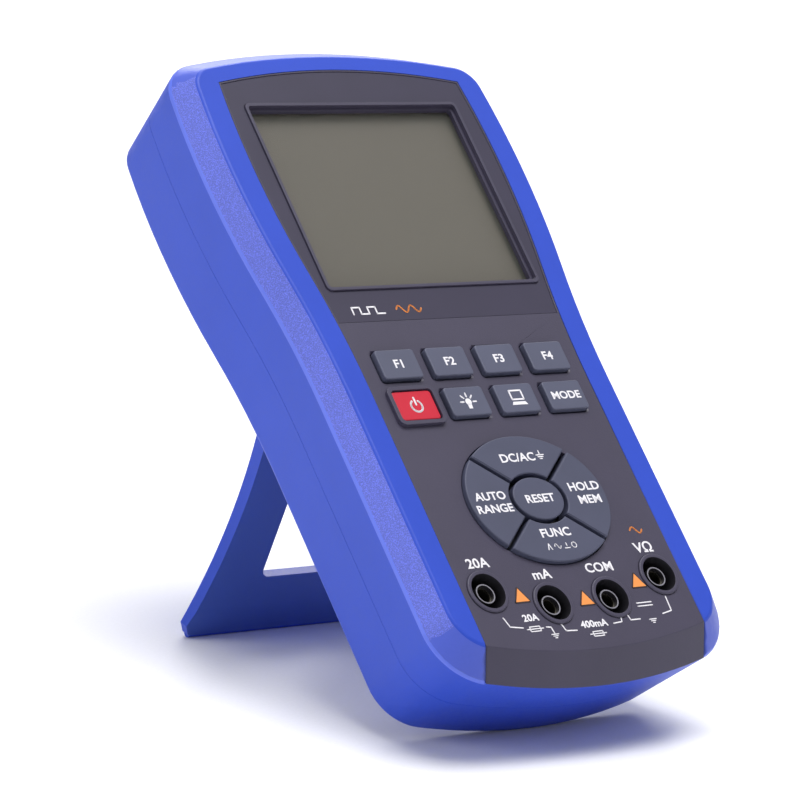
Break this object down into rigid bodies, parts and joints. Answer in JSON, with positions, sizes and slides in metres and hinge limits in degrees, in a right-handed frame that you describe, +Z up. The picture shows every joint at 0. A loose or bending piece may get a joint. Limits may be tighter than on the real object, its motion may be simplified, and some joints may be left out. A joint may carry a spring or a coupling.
{
  "type": "handheld oscilloscope multimeter",
  "caption": "Handheld oscilloscope and multimeter in a blue waisted case, standing back on its open kickstand, with display, pressing keys, round pad and shrouded test sockets.",
  "frame": {"origin": "on the floor, at the middle of the whole standing instrument's plan box", "axes": "+Z up, +X across the instrument to the right as the user sees the display, -Y towards the user"},
  "size_m": [0.1054, 0.1558, 0.1505],
  "materials": {
    "blue_casing": "fine moulded texture",
    "panel_plastic": "satin moulded",
    "surround_plastic": "satin film",
    "clear_lens": "polished",
    "lcd_glass": "unlit reflective display",
    "light_guide": "frosted",
    "red_key": "satin",
    "key_plastic": "satin silicone",
    "socket_plastic": "moulded",
    "brass_contacts": "bright",
    "circuit_board": "solder mask",
    "black_components": "moulded",
    "silicone_rubber": "matt",
    "fuse_body": "ceramic tube with metal caps",
    "component_lacquer": "dipped",
    "cell_sleeve": "shrink sleeve",
    "steel": "zinc plated"
  },
  "bodies": {
    "case": {"batteries": "cell_sleeve", "battery_contacts": "steel", "battery_door": "blue_casing", "battery_door_screws": "steel", "board_chips": "black_components", "board_header": "black_components", "board_screws": "steel", "buzzer": "black_components", "capacitors": "black_components", "case_screws": "steel", "contact_20a": "brass_contacts", "contact_com": "brass_contacts", "contact_ma": "brass_contacts", "contact_volts": "brass_contacts", "current_shunt": "steel", "data_port": "steel", "display_surround": "surround_plastic", "display_window": "clear_lens", "front_panel": "panel_plastic", "front_shell": "blue_casing", "fuse_20a": "fuse_body", "fuse_400ma": "fuse_body", "fuse_clips": "brass_contacts", "header_pins": "brass_contacts", "hinge_pin": "steel", "input_board": "circuit_board", "key_domes": "steel", "keypad_mat": "silicone_rubber", "lcd_backlight": "light_guide", "lcd_connector_strip": "silicone_rubber", "lcd_frame": "steel", "lcd_panel": "lcd_glass", "main_board": "circuit_board", "rear_shell": "blue_casing", "scope_shield": "steel", "socket_20a": "socket_plastic", "socket_com": "socket_plastic", "socket_ma": "socket_plastic", "socket_volts": "socket_plastic", "varistors": "component_lacquer"},
    "kickstand": {"kickstand": "blue_casing"},
    "key_computer": {"key_computer": "key_plastic"},
    "key_f1": {"key_f1": "key_plastic"},
    "key_f2": {"key_f2": "key_plastic"},
    "key_f3": {"key_f3": "key_plastic"},
    "key_f4": {"key_f4": "key_plastic"},
    "key_light": {"key_light": "key_plastic"},
    "key_mode": {"key_mode": "key_plastic"},
    "key_power": {"key_power": "red_key"},
    "key_reset": {"key_reset": "key_plastic"},
    "pad_key_auto_range": {"pad_key_auto_range": "key_plastic"},
    "pad_key_dc_ac": {"pad_key_dc_ac": "key_plastic"},
    "pad_key_functions": {"pad_key_functions": "key_plastic"},
    "pad_key_hold": {"pad_key_hold": "key_plastic"}
  },
  "joints": [
    {"name": "kickstand_hinge", "type": "hinge", "parent": "case", "child": "kickstand", "pos_m": [0, 0.02545, 0.07705], "axis": [-1, 0, 0], "range_deg": [0, 58.25]},
    {"name": "key_computer_press", "type": "slide", "parent": "case", "child": "key_computer", "axis": [0, 0.6921, -0.7218], "range_m": [0, 0.0009], "stiffness_N_per_m": 900},
    {"name": "key_f1_press", "type": "slide", "parent": "case", "child": "key_f1", "axis": [0, 0.6921, -0.7218], "range_m": [0, 0.0009], "stiffness_N_per_m": 900},
    {"name": "key_f2_press", "type": "slide", "parent": "case", "child": "key_f2", "axis": [0, 0.6921, -0.7218], "range_m": [0, 0.0009], "stiffness_N_per_m": 900},
    {"name": "key_f3_press", "type": "slide", "parent": "case", "child": "key_f3", "axis": [0, 0.6921, -0.7218], "range_m": [0, 0.0009], "stiffness_N_per_m": 900},
    {"name": "key_f4_press", "type": "slide", "parent": "case", "child": "key_f4", "axis": [0, 0.6921, -0.7218], "range_m": [0, 0.0009], "stiffness_N_per_m": 900},
    {"name": "key_light_press", "type": "slide", "parent": "case", "child": "key_light", "axis": [0, 0.6921, -0.7218], "range_m": [0, 0.0009], "stiffness_N_per_m": 900},
    {"name": "key_mode_press", "type": "slide", "parent": "case", "child": "key_mode", "axis": [0, 0.6921, -0.7218], "range_m": [0, 0.0009], "stiffness_N_per_m": 900},
    {"name": "key_power_press", "type": "slide", "parent": "case", "child": "key_power", "axis": [0, 0.6921, -0.7218], "range_m": [0, 0.0009], "stiffness_N_per_m": 900},
    {"name": "key_reset_press", "type": "slide", "parent": "case", "child": "key_reset", "axis": [0, 0.6921, -0.7218], "range_m": [0, 0.0009], "stiffness_N_per_m": 900},
    {"name": "pad_key_auto_range_press", "type": "slide", "parent": "case", "child": "pad_key_auto_range", "axis": [0, 0.6921, -0.7218], "range_m": [0, 0.0009], "stiffness_N_per_m": 900},
    {"name": "pad_key_dc_ac_press", "type": "slide", "parent": "case", "child": "pad_key_dc_ac", "axis": [0, 0.6921, -0.7218], "range_m": [0, 0.0009], "stiffness_N_per_m": 900},
    {"name": "pad_key_functions_press", "type": "slide", "parent": "case", "child": "pad_key_functions", "axis": [0, 0.6921, -0.7218], "range_m": [0, 0.0009], "stiffness_N_per_m": 900},
    {"name": "pad_key_hold_press", "type": "slide", "parent": "case", "child": "pad_key_hold", "axis": [0, 0.6921, -0.7218], "range_m": [0, 0.0009], "stiffness_N_per_m": 900}
  ]
}
